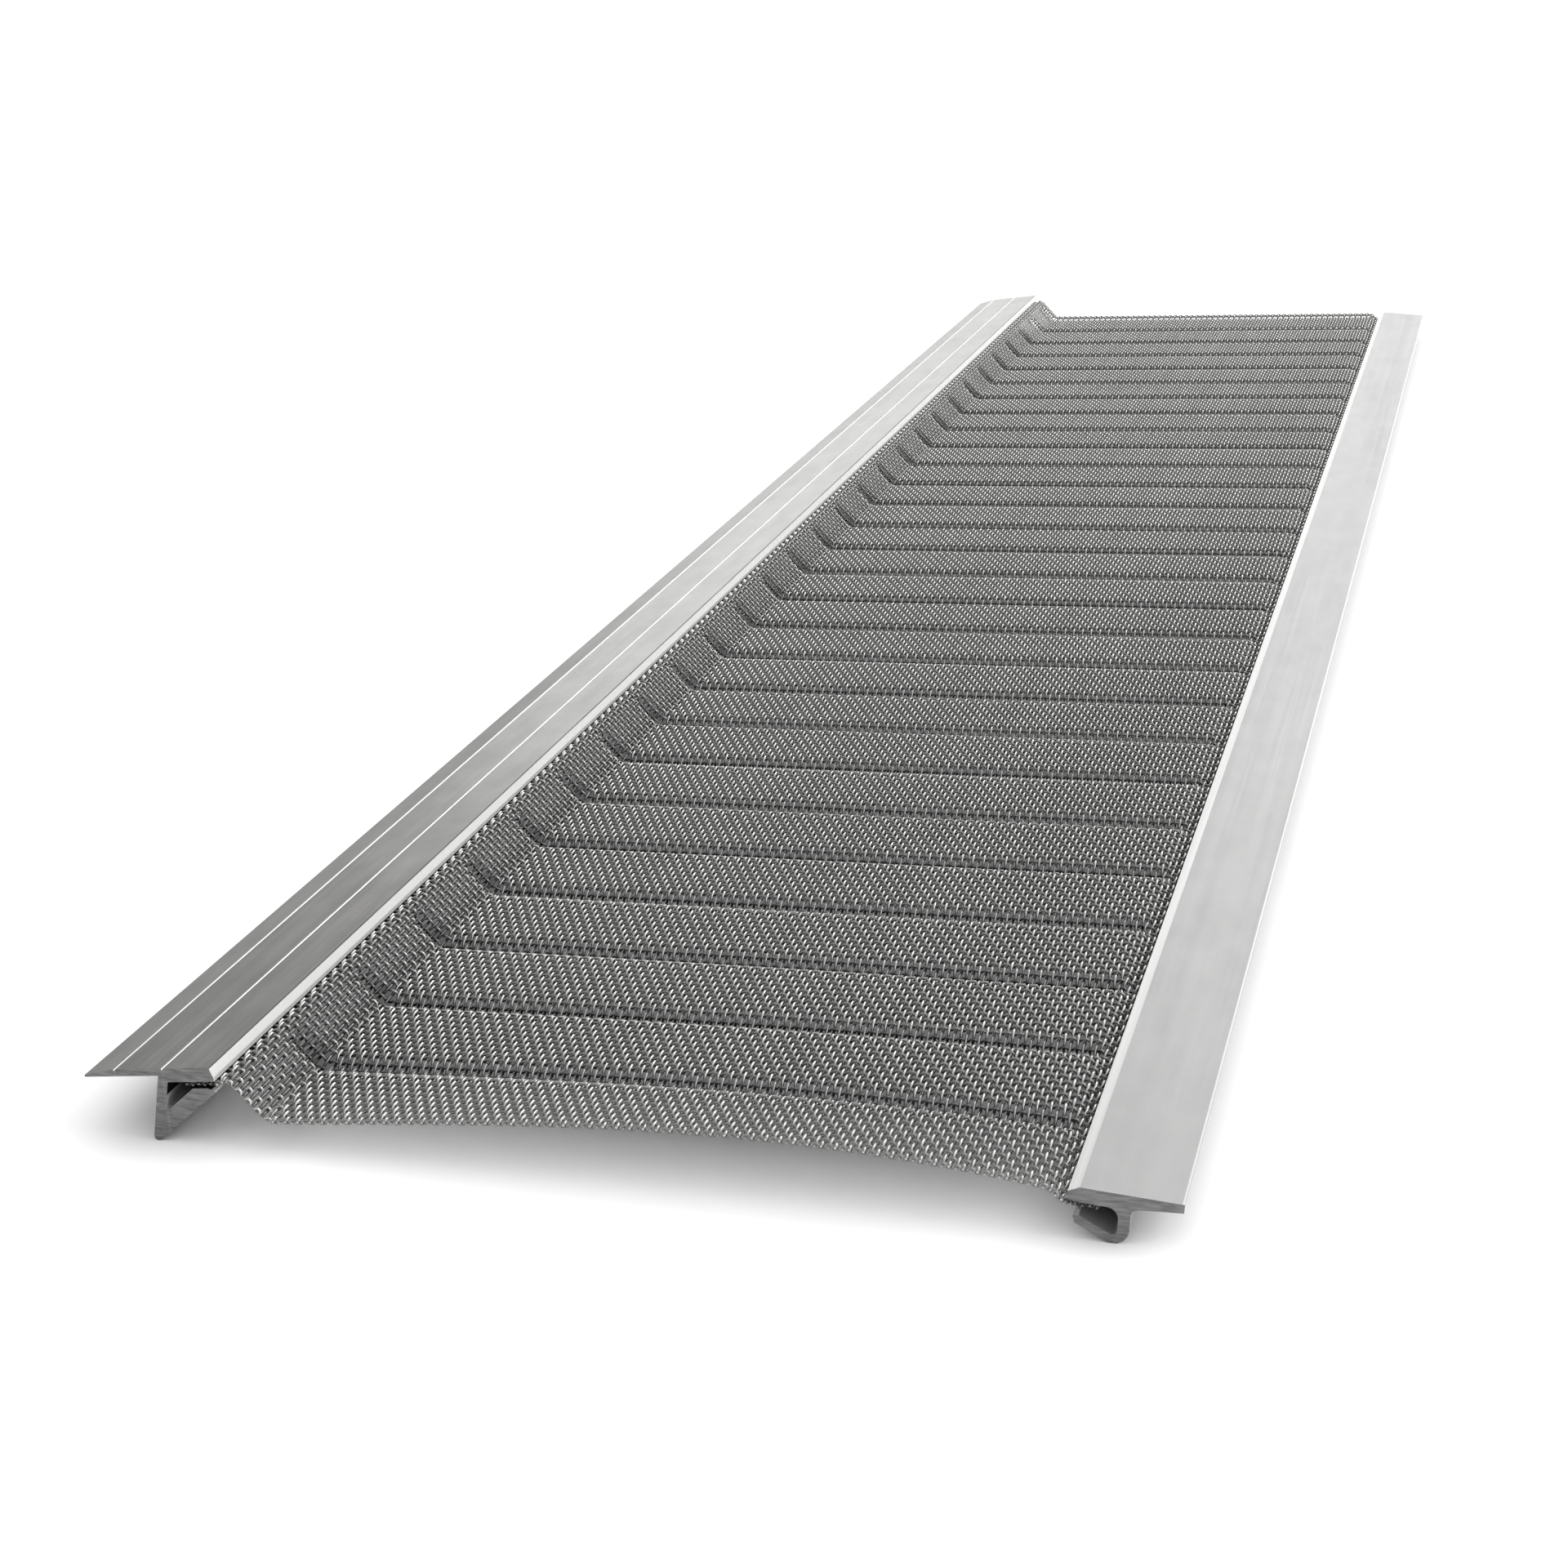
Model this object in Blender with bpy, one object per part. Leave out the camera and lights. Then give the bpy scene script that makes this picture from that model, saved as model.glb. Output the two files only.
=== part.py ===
"""Micro-mesh gutter guard panel: two aluminium extrusions that grip a corrugated woven sheet.

The rear rail slides under the roof's first course of shingles. The front rail lies on the
gutter's front lip. The sheet spans the gutter between them, held in a jaw in each rail.
+X runs from the rear rail to the front rail, +Y along the panel and +Z up. The origin is
below the middle of the panel, on the plane that the panel stands on.

Each rail's outline is drawn in its own axes: u across the panel towards the front, and v up
from the rail's flat top face. The rail is then turned about +Y by its tilt.
"""

from math import atan2, cos, degrees, exp, floor, pi, radians, sin, tan

import bpy
import numpy as np

MM = 0.001

# Whole panel
PANEL_LENGTH = 610 * MM
RAIL_SPACING = 119.5 * MM  # across, from the rear rail's inner top edge to the front rail's top edge
CLEARANCE = 0.06 * MM  # between the sheet and each side of the jaw that grips it

# Rear rail
REAR_TILT = 6.5  # degrees, inner edge higher
FLANGE_WIDTH = 19.6 * MM
FLANGE_THICKNESS = 1.1 * MM
FLANGE_NOSE_WIDTH = 4.6 * MM
FLANGE_NOSE_DROP = 0.8 * MM
SCORE_WIDTH = 0.5 * MM
SCORE_DEPTH = 0.3 * MM
SCORE_SPACING = 7.5 * MM
REAR_EDGE_BEVEL = 0.4 * MM
REAR_EDGE_HEIGHT = 1.5 * MM
REAR_ROOF = 2.1 * MM  # thickness of the flange above the jaw
LEG_SETBACK = 8.05 * MM  # from the inner top edge to the leg's outer face
LEG_THICKNESS = 1.5 * MM
LEG_LEAN = 17.8  # degrees from square
LEG_DEPTH = 11.95 * MM  # to the corner that the rounded foot cuts off
LEG_ROUND = 0.65 * MM
JAW_WALL = 2.5 * MM
JAW_REACH = 0.5 * MM
JAW_LAND = 0.9 * MM  # from the inner top edge back to where the jaw's lip starts to slope
JAW_LIP_DROP = 0.5 * MM

# Front rail
FRONT_TILT = -4.3  # degrees, outer edge lower
STRIP_WIDTH = 13.1 * MM
STRIP_EDGE = 1.2 * MM  # thickness at the outer edge
STRIP_ROOT = 1.9 * MM  # thickness at the hook
NOSE_REACH = 1.45 * MM
NOSE_BEVEL_DROP = 0.75 * MM
NOSE_HEIGHT = 1.9 * MM
FRONT_ROOF = 2.1 * MM  # thickness of the strip above the jaw
HOOK_SETBACK = 6.6 * MM  # from the top edge to the hook's back wall
HOOK_WALL = 1.5 * MM
HOOK_ROUND = 2.05 * MM
HOOK_FILLET = 1.0 * MM
LIP_WALL = 1.2 * MM
LIP_SLOPE = 25  # degrees
LIP_REACH = 0.3 * MM
LIP_DROP = 1.95 * MM  # height of the lip's blunt end

# Woven sheet
WIRE = 0.44 * MM
SHEET_THICKNESS = 2 * WIRE  # plain weave: at each crossing one wire lies on the other
SHEET_INSET = 0.3 * MM  # how far the sheet stops short of the rails at each end
REAR_TUCK = 4.6 * MM  # how far the sheet reaches into the rear jaw
FRONT_TUCK = 2.6 * MM
HUMP_RUN = 1.7 * MM
HUMP_RISE = 0.45 * MM
FLANK_SLOPE = 47  # degrees
FLANK_DROP = 5.7 * MM
BOW_HEIGHT = 3.7 * MM  # how far the sheet's free near edge bulges up between the rails
BOW_LENGTH = 20 * MM  # the bulge fades to a third over this length along the panel
BOW_SKEW = 1.25  # above 1, the bulge is highest nearer the front rail
DIP_SETBACK = 0.6 * MM  # from the front rail's nose to the foot of the dip
DIP_RUN = 2.1 * MM
DIP_DROP = 1.6 * MM
HUMP_RADIUS = 1.1 * MM
BEND_RADIUS = 2.2 * MM
DIP_RADIUS = 1.8 * MM
GROOVE_PITCH = 21.7 * MM
FIRST_GROOVE = 18.3 * MM  # from the panel's near end to the first groove's middle
END_MARGIN = 3.5 * MM  # least distance from the last groove's middle to the far end
GROOVE_WIDTH = 6.8 * MM
GROOVE_FLOOR = 1.2 * MM
GROOVE_DEPTH = 1.2 * MM
GROOVE_RAMP = 2.8 * MM  # length over which a groove fades out towards each jaw

SPAN_STEPS = 6
BOW_STEPS = 3
ARC_STEP = radians(24)
SMOOTH_ANGLE = radians(32)


def clear_scene():
    for thing in list(bpy.data.objects):
        bpy.data.objects.remove(thing, do_unlink=True)


def metal(name, colour, roughness):
    """A metal finish."""
    finish = bpy.data.materials.new(name)
    finish.use_nodes = True
    shader = finish.node_tree.nodes["Principled BSDF"]
    shader.inputs["Base Color"].default_value = (*colour, 1)
    shader.inputs["Metallic"].default_value = 1
    shader.inputs["Roughness"].default_value = roughness
    return finish


def along(start, heading, distance):
    """The point at a distance from start. A heading is in degrees, counted from +u towards +v."""
    angle = radians(heading)
    return start[0] + distance * cos(angle), start[1] + distance * sin(angle)


def meet(p, p_heading, q, q_heading):
    """Where the line through p meets the line through q."""
    a, b = radians(p_heading), radians(q_heading)
    across = (q[0] - p[0]) * sin(b) - (q[1] - p[1]) * cos(b)
    return along(p, p_heading, across / sin(b - a))


def rounded(corners, closed=True):
    """The points of an outline or a path whose (u, v, radius) corners are rounded by arcs."""
    points = []
    last = len(corners) - 1
    for i, (u, v, radius) in enumerate(corners):
        if radius == 0 or (not closed and i in (0, last)):
            points.append((u, v))
            continue
        before, after = corners[i - 1], corners[(i + 1) % len(corners)]
        back = atan2(before[1] - v, before[0] - u)
        ahead = atan2(after[1] - v, after[0] - u)
        half = ((ahead - back + pi) % (2 * pi) - pi) / 2
        centre_angle = back + half
        reach = radius / abs(sin(half))
        centre = (u + reach * cos(centre_angle), v + reach * sin(centre_angle))
        turn = pi - 2 * abs(half)
        steps = max(1, round(turn / ARC_STEP))
        for k in range(steps + 1):
            swing = (0.5 - k / steps) * turn * (1 if half > 0 else -1)
            angle = centre_angle + pi + swing
            points.append((centre[0] + radius * cos(angle), centre[1] + radius * sin(angle)))
    return points


def slot_height():
    return SHEET_THICKNESS + 2 * CLEARANCE


def score(middle):
    """The three corners of a V-shaped line scored into a top face."""
    return [
        (middle - SCORE_WIDTH / 2, 0, 0),
        (middle, -SCORE_DEPTH, 0),
        (middle + SCORE_WIDTH / 2, 0, 0),
    ]


def rear_outline():
    """Thin flange with two scored lines, a leaning leg, and a jaw that rises from the leg's foot."""
    first_score = -FLANGE_WIDTH + FLANGE_NOSE_WIDTH + SCORE_WIDTH / 2
    jaw_floor = -REAR_ROOF - slot_height()
    leg_heading = -90 - LEG_LEAN
    leg_top = (-LEG_SETBACK, -FLANGE_THICKNESS)
    foot = along(leg_top, leg_heading, (LEG_DEPTH - FLANGE_THICKNESS) / cos(radians(LEG_LEAN)))
    jaw_tip = (JAW_REACH, jaw_floor - JAW_LIP_DROP)
    jaw_heading = degrees(atan2(jaw_tip[1] - foot[1], jaw_tip[0] - foot[0]))
    leg_inside = (leg_top[0] + LEG_THICKNESS / cos(radians(LEG_LEAN)), leg_top[1])
    jaw_inside = along(jaw_tip, jaw_heading + 90, JAW_WALL)
    cavity_corner = meet(leg_inside, leg_heading, (0, -REAR_ROOF), 0)
    cavity_foot = meet(leg_inside, leg_heading, jaw_inside, jaw_heading)
    land_start = meet(jaw_inside, jaw_heading, (0, jaw_floor), 0)
    return rounded(
        [
            (-FLANGE_WIDTH, -FLANGE_THICKNESS, 0),
            (*leg_top, 0),
            (*foot, LEG_ROUND),
            (*jaw_tip, JAW_LIP_DROP / 2),
            (-JAW_LAND, jaw_floor, 0),
            (*land_start, 0),
            (*cavity_foot, LEG_ROUND / 2),
            (*cavity_corner, 0),
            (REAR_EDGE_BEVEL, -REAR_ROOF, 0),
            (REAR_EDGE_BEVEL, -REAR_EDGE_HEIGHT, 0),
            (0, 0, 0),
            *reversed(score(first_score + SCORE_SPACING)),
            *reversed(score(first_score)),
            (-FLANGE_WIDTH, -FLANGE_NOSE_DROP, 0),
        ]
    )


def front_outline():
    """Strip that lies on the gutter's lip, with a bevelled nose and a hook curled up under it."""
    jaw_floor = -FRONT_ROOF - slot_height()
    lip_end = (-LIP_REACH, jaw_floor - LIP_DROP)
    lip_inside = along(lip_end, 90 - LIP_SLOPE, LIP_WALL)
    back_inside = HOOK_SETBACK - HOOK_WALL
    hook_foot = meet(lip_end, -LIP_SLOPE, (HOOK_SETBACK, 0), 90)
    cavity_foot = meet(lip_inside, -LIP_SLOPE, (back_inside, 0), 90)
    return rounded(
        [
            (0, 0, 0),
            (-NOSE_REACH, -NOSE_BEVEL_DROP, 0),
            (-NOSE_REACH, -NOSE_HEIGHT, 0),
            (0, -FRONT_ROOF, 0),
            (back_inside, -FRONT_ROOF, HOOK_WALL),
            (*cavity_foot, HOOK_ROUND / 3),
            (*lip_inside, 0),
            (lip_inside[0], jaw_floor, 0),
            (0, jaw_floor, 0),
            (-LIP_REACH * 2, jaw_floor - LIP_DROP / 2, LIP_WALL / 3),
            (*lip_end, LIP_WALL / 4),
            (*hook_foot, HOOK_ROUND),
            (HOOK_SETBACK, -STRIP_ROOT, HOOK_FILLET),
            (STRIP_WIDTH, -STRIP_EDGE, 0),
            (STRIP_WIDTH, 0, 0),
        ]
    )


def turned(points, tilt):
    """Points (u, v) turned so that +u rises by this many degrees."""
    angle = radians(tilt)
    u, v = np.array(points).T
    return np.stack([u * cos(angle) - v * sin(angle), u * sin(angle) + v * cos(angle)], axis=1)


def rail_places():
    """The (x, z) places of the rear and front rails' own origins, both rails standing at z = 0."""
    rear = turned(rear_outline(), REAR_TILT)
    front = turned(front_outline(), FRONT_TILT)
    rear_x = -(rear[:, 0].min() + RAIL_SPACING + front[:, 0].max()) / 2
    return (rear_x, -rear[:, 1].min()), (rear_x + RAIL_SPACING, -front[:, 1].min())


def extruded(name, outline, finish):
    """A rail: its outline in the XZ plane, drawn out along Y to both ends of the panel."""
    count = len(outline)
    half = PANEL_LENGTH / 2
    points = [(u, y, v) for y in (-half, half) for u, v in outline]
    sides = [(i, (i + 1) % count, (i + 1) % count + count, i + count) for i in range(count)]
    ends = [tuple(reversed(range(count))), tuple(range(count, 2 * count))]
    shape = bpy.data.meshes.new(name)
    shape.from_pydata(points, [], sides + ends)
    rail = bpy.data.objects.new(name, shape)
    bpy.context.collection.objects.link(rail)
    face_outwards(rail)
    finish_shape(rail, finish)
    return rail


def face_outwards(thing):
    bpy.context.view_layer.objects.active = thing
    thing.select_set(True)
    bpy.ops.object.mode_set(mode="EDIT")
    bpy.ops.mesh.select_all(action="SELECT")
    bpy.ops.mesh.normals_make_consistent(inside=False)
    bpy.ops.object.mode_set(mode="OBJECT")
    thing.select_set(False)


def finish_shape(thing, finish):
    thing.data.materials.append(finish)
    thing.data.shade_smooth()
    thing.data.set_sharp_from_angle(angle=SMOOTH_ANGLE)


def span(start, end):
    """Corners that divide the flat span, so that it can bulge."""
    share = np.linspace(0, 1, SPAN_STEPS + 1)[1:-1]
    return [(start[0] + (end[0] - start[0]) * s, start[1] + (end[1] - start[1]) * s, 0) for s in share]


def bulge(section, bend, dip_start):
    """How much of the bow each point of the section takes: 4 t (1 - t), with t skewed to the front."""
    share = np.clip((section[:, 0] - bend[0]) / (dip_start[0] - bend[0]), 0, 1) ** BOW_SKEW
    return 4 * share * (1 - share)


def bow_height(y):
    """Height of the bow at y: it fades exponentially away from the panel's near end."""
    return BOW_HEIGHT * exp(-(y + PANEL_LENGTH / 2) / BOW_LENGTH)


def sheet_section():
    """The sheet's middle line across the panel: rear jaw, hump, flank, flat span, dip, front jaw."""
    (rear_x, rear_z), (front_x, front_z) = rail_places()
    rear_middle = -REAR_ROOF - slot_height() / 2
    front_middle = -FRONT_ROOF - slot_height() / 2
    rear = turned(
        [
            (-REAR_TUCK, rear_middle),
            (REAR_EDGE_BEVEL, rear_middle),
            (REAR_EDGE_BEVEL + HUMP_RUN, rear_middle + HUMP_RISE),
        ],
        REAR_TILT,
    ) + (rear_x, rear_z)
    dip_foot = -NOSE_REACH - DIP_SETBACK
    front = turned(
        [
            (dip_foot - DIP_RUN, front_middle + DIP_DROP),
            (dip_foot, front_middle),
            (FRONT_TUCK, front_middle),
        ],
        FRONT_TILT,
    ) + (front_x, front_z)
    hump = rear[2]
    bend = (hump[0] + FLANK_DROP / tan(radians(FLANK_SLOPE)), hump[1] - FLANK_DROP)
    flank = (hump[0] * 0.6 + bend[0] * 0.4, hump[1] * 0.6 + bend[1] * 0.4)
    corners = [
        (*rear[0], 0),
        (*rear[1], 0),
        (*hump, HUMP_RADIUS),
        (*flank, 0),
        (*bend, BEND_RADIUS),
        *span(bend, front[0]),
        (*front[0], DIP_RADIUS),
        (*front[1], DIP_RADIUS / 2),
        (*front[2], 0),
    ]
    return np.array(rounded(corners, closed=False)), hump, bend, front[0], front[1]


def groove_share(section, hump, dip_foot):
    """How much of a groove's depth each point of the section takes: none in the jaws, all between."""
    steps = np.hypot(*np.diff(section, axis=0).T)
    run = np.concatenate([[0], np.cumsum(steps)])
    rear_start = run[np.hypot(*(section - hump).T).argmin()]
    front_end = run[np.hypot(*(section - dip_foot).T).argmin()]
    rear = np.clip((run - rear_start) / GROOVE_RAMP, 0, 1)
    front = np.clip((front_end - run) / GROOVE_RAMP, 0, 1)
    return np.minimum(rear, front)


def groove_stations():
    """Places along the panel, each with the share of a groove's depth there."""
    half = PANEL_LENGTH / 2
    count = floor((PANEL_LENGTH - FIRST_GROOVE - END_MARGIN) / GROOVE_PITCH) + 1
    near = -half + SHEET_INSET
    far = half - SHEET_INSET
    plain = FIRST_GROOVE - GROOVE_WIDTH / 2 - SHEET_INSET
    stations = [(near + plain * k / BOW_STEPS, 0) for k in range(BOW_STEPS)]
    for k in range(count):
        middle = -half + FIRST_GROOVE + k * GROOVE_PITCH
        stations += [
            (middle - GROOVE_WIDTH / 2, 0),
            (middle - GROOVE_FLOOR / 2, 1),
            (middle + GROOVE_FLOOR / 2, 1),
            (middle + GROOVE_WIDTH / 2, 0),
        ]
    return [(y, share) for y, share in stations if y < far - CLEARANCE] + [(far, 0)]


def upward_normals(section):
    """Unit normals of the section's middle line, pointing up."""
    ahead = np.gradient(section, axis=0)
    ahead /= np.hypot(*ahead.T)[:, None]
    return np.stack([-ahead[:, 1], ahead[:, 0]], axis=1)


def woven_sheet(finish):
    """The sheet: its section carried along Y, pushed down into the grooves, then given its thickness."""
    section, hump, bend, dip_start, dip_foot = sheet_section()
    push = groove_share(section, hump, dip_foot)[:, None] * GROOVE_DEPTH * upward_normals(section)
    lift = bulge(section, bend, dip_start)[:, None] * (0, 1)
    origin = np.array(rail_places()[0])
    stations = groove_stations()
    points = []
    for y, share in stations:
        line = section + bow_height(y) * lift - share * push - origin
        points += [(x, y, z) for x, z in line]
    width = len(section)
    faces = [
        (a, a + width, a + width + 1, a + 1)
        for row in range(len(stations) - 1)
        for a in range(row * width, (row + 1) * width - 1)
    ]
    shape = bpy.data.meshes.new("woven_sheet")
    shape.from_pydata(points, [], faces)
    sheet = bpy.data.objects.new("woven_sheet", shape)
    bpy.context.collection.objects.link(sheet)
    finish_shape(sheet, finish)
    wall = sheet.modifiers.new("thickness", "SOLIDIFY")
    wall.thickness = SHEET_THICKNESS
    wall.offset = 0
    wall.use_even_offset = True
    return sheet


def place(thing, parent, where, tilt=0.0):
    """Stand a piece at (x, z) under its parent, with +X raised by tilt degrees."""
    thing.parent = parent
    thing.location = (where[0], 0, where[1])
    thing.rotation_euler = (0, -radians(tilt), 0)


def build():
    clear_scene()
    panel = bpy.data.objects.new("panel", None)
    bpy.context.collection.objects.link(panel)
    rear_place, front_place = rail_places()
    mill_grey = metal("mill_grey_aluminium", (0.42, 0.42, 0.41), 0.38)
    pale_brushed = metal("pale_brushed_aluminium", (0.62, 0.62, 0.62), 0.36)
    stainless = metal("stainless_wire", (0.45, 0.45, 0.44), 0.3)
    place(extruded("rear_rail", rear_outline(), mill_grey), panel, rear_place, REAR_TILT)
    place(extruded("front_rail", front_outline(), pale_brushed), panel, front_place, FRONT_TILT)
    place(woven_sheet(stainless), panel, rear_place)
    bpy.context.view_layer.update()


if __name__ == "__main__":
    build()
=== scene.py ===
"""Looks of a gutter guard panel: wire cloth laid wire by wire between two aluminium rails, in a studio."""

import bpy
import numpy as np
from mathutils import Matrix, Vector


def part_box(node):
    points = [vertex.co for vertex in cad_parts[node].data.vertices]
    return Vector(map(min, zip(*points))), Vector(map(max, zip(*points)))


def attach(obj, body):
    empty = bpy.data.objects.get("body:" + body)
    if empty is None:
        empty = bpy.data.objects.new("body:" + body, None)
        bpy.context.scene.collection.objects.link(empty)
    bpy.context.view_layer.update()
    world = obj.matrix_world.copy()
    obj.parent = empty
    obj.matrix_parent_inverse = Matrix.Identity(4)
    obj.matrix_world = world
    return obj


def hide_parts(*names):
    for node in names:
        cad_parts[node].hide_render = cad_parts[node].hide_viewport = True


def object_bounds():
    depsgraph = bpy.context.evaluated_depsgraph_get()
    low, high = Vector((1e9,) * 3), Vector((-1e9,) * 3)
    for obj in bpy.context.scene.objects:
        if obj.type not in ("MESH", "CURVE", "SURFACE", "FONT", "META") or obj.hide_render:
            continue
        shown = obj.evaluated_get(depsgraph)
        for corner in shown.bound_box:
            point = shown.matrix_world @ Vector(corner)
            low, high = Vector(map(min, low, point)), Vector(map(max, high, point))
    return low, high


bl_info = {
    "name": "Gutter guard panel",
    "version": (1, 0, 0),
    "blender": (4, 5, 0),
    "location": "3D View > Sidebar > Guard",
    "description": "Lays the wire cloth of a gutter guard panel and finishes its rails",
    "category": "Mesh",
}

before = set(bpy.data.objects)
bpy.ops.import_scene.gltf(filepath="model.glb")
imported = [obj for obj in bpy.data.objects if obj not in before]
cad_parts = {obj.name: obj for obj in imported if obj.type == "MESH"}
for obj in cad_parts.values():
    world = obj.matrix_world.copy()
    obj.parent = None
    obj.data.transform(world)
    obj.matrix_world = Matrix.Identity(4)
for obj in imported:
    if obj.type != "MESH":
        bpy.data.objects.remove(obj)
CAD_BOX = [list(corner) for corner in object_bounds()]

MM = 0.001
SHEET_LOW, SHEET_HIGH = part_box("woven_sheet")
REAR_LOW, REAR_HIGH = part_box("rear_rail")
FRONT_LOW, FRONT_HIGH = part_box("front_rail")
NEAR_END, FAR_END = SHEET_LOW.y, SHEET_HIGH.y
RAIL_NEAR_END, RAIL_FAR_END = REAR_LOW.y, REAR_HIGH.y
INNER_EDGE = REAR_HIGH.x  # of the rear rail

# The cloth's middle line across the panel, as (x from the rear rail's inner edge, z, corner radius) in mm:
# rear jaw, jaw's mouth, hump, foot of the flank, start of the dip, foot of the dip, front jaw.
SECTION = (
    (-4.77, 8.96, 0.0),
    (0.20, 9.53, 0.0),
    (1.84, 10.17, 1.1),
    (7.16, 4.47, 2.2),
    (114.80, 6.73, 1.8),
    (116.77, 4.975, 0.9),
    (121.41, 4.626, 0.0),
)
MOUTH, HUMP, BEND, DIP_START, DIP_FOOT = 1, 2, 3, 4, 5  # points of SECTION
ARC_POINTS = 16  # along each rounded corner
TRAVEL_POINTS = 12001  # where the way over the grooves is measured
SLOPE_STEP = 0.05 * MM  # to each side of a point, for the section's slope
NORMAL_STEP = 0.15 * MM  # to each side of a point, for the surface's two slopes

RING_SIDES = 4  # of a wire's tube
STRIP_SHARE = 0.8  # of its column on the UV map that each wall of a tube fills
GROUPS = 5  # pieces that each set of wires is shared out to
EDGE_MARGIN = 0.9  # from the cloth's edge to the middle of its outermost wire, in wires
PLATEAU = 0.33  # half of a crimp's flat top, as a share of the spacing
END_SHARE = 0.25  # of the crimp left at a wire's cut ends
LENGTHWISE_SEED, CROSSWISE_SEED = 11, 23  # of the wires' own tones

# Painted light and shade on each set of wires: painted shade where a wire dips under another, a painted
# highlight on its crowns, and how much brighter or darker it is painted on the flank and in the grooves.
LENGTHWISE_PAINTED_LIGHT = {"dip": 0.44, "crown": 1.14, "flank": -0.58, "groove": -0.56}
CROSSWISE_PAINTED_LIGHT = {"dip": 0.35, "crown": 0.70, "flank": 1.00, "groove": -0.72}
FLANK_EDGE = 1.5 * MM  # over which the flank's painted light and shade comes and goes
JAW_SHADE = 0.3  # share of a wire's painted brightness left inside the jaws: painted shade under them

# Places across the rails.
BEVEL_TOP = INNER_EDGE - 0.56 * MM  # where the rear rail's bevel meets its flange
SCORES = BEVEL_TOP - 14.65 * MM, BEVEL_TOP - 7.20 * MM
SCORE_REACH = 0.22 * MM  # to each side of a scored line's middle
NOSE_BEVEL = 1.6 * MM  # width of the front rail's bevel
RIM = 0.30 * MM, 0.03 * MM  # from the front rail's outer edge to both sides of the painted highlight line along it
SPARE = 1 * MM  # that a band reaches past the metal
SAWN_DEPTH = 0.02 * MM  # how near to a rail's end its surface counts as sawn

# Finishes. A noise's scale is in waves per metre along X, Y and Z.
DRAW_LINES = (2600, 14, 2600)
BROAD_LINES = (420, 2.5, 420)
CLOUDS = (220, 90, 220)
SAW_MARKS = (500, 500, 3600)
WIRE_PATCHES = (70, 70, 70)
WIRE_MARKS = (900, 900, 900)
FLOOR_PATCHES = (3, 3, 3)
MIDDLE = 0.30, 0.70  # values that most of a noise lies between
SPREAD = 0.25, 0.75  # values that nearly all of it lies between
OWN_SHARE = 0.6  # of a wire's tone that is its own; the patches give the rest
WIRE_TONES = 0.80, 1.16  # darkest and lightest, times the wire's colour
WIRE_ROUGHNESS = 0.34, 0.46
FINE_SHARE = 0.55  # of a rail's draw lines that are fine; the broad ones give the rest
LINE_ROUGHNESS = -0.09, 0.11  # added to a rail's roughness by its draw lines
LINE_RELIEF, LINE_DEPTH = 0.25, 0.03 * MM
HIGHLIGHT_SMOOTHING = 0.14  # taken off a rail's roughness where its highlights are painted
# metallic where highlights are painted, so that their near-white colour shows
PAINTED_HIGHLIGHT_METALLIC = 0.35
SAWN_TONES = 0.13, 0.26
SAWN_ROUGHNESS = 0.55
SAWN_RELIEF = 1.5  # of the tooth marks, times the draw lines' relief
FLOOR_TONES = 0.99, 1.01
MIX_A, MIX_B, MIX_RESULT = 6, 7, 2  # colour sockets of a Mix node

# Studio. Places and sizes are in metres.
FLOOR_REACH = 40  # to each side of the panel
FLOOR_GAP = 0.02 * MM
FLAG_HEIGHT = 2.5 * MM
FLAG_OVERHANG = 12 * MM  # past the far end
FLAG_FADE = 20 * MM  # length over which the flag thickens from its near edge
FLAG_THINNESS = 0.30  # share of the light that the flag lets through
TENT_POLE = (0.0, 0.95, 0.31)  # direction of the tent's white middle
TENT_EDGES = 0.38, 0.88  # nearness to the pole where the tent starts and where it is fully white
WALL_EDGES = 0.40, 0.70  # heights, as the sine of the angle, where the tent's walls start to dim and end
WALL_SHARE = 0.55  # brightness of the walls all round, next to the tent behind the panel
BACKDROP = 1.2  # least brightness of the sky that the camera sees, so that the horizon doesn't show
OVERHEAD_SPREAD = 1.9  # angle in radians that the floor light fills
BACK_LIGHT_PLACE, BACK_LIGHT_SIZE = (0.1, 2.1, 0.88), (2.8, 1.0)
SIDE_LIGHT_PLACE, SIDE_LIGHT_SIZE = (1.6, 0.1, 1.3), (1.4, 1.2)
CAMERA_PLACE = (0.11016, -0.58397, 0.16615)
CAMERA_AHEAD = (-0.26857, 0.89875, -0.34657)
CAMERA_UP = (-0.05954, 0.34362, 0.93722)
FILM_WIDTH = 36  # in mm
SIGHT = 100  # how far the camera sees


# ---------------------------------------------------------------- settings


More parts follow.
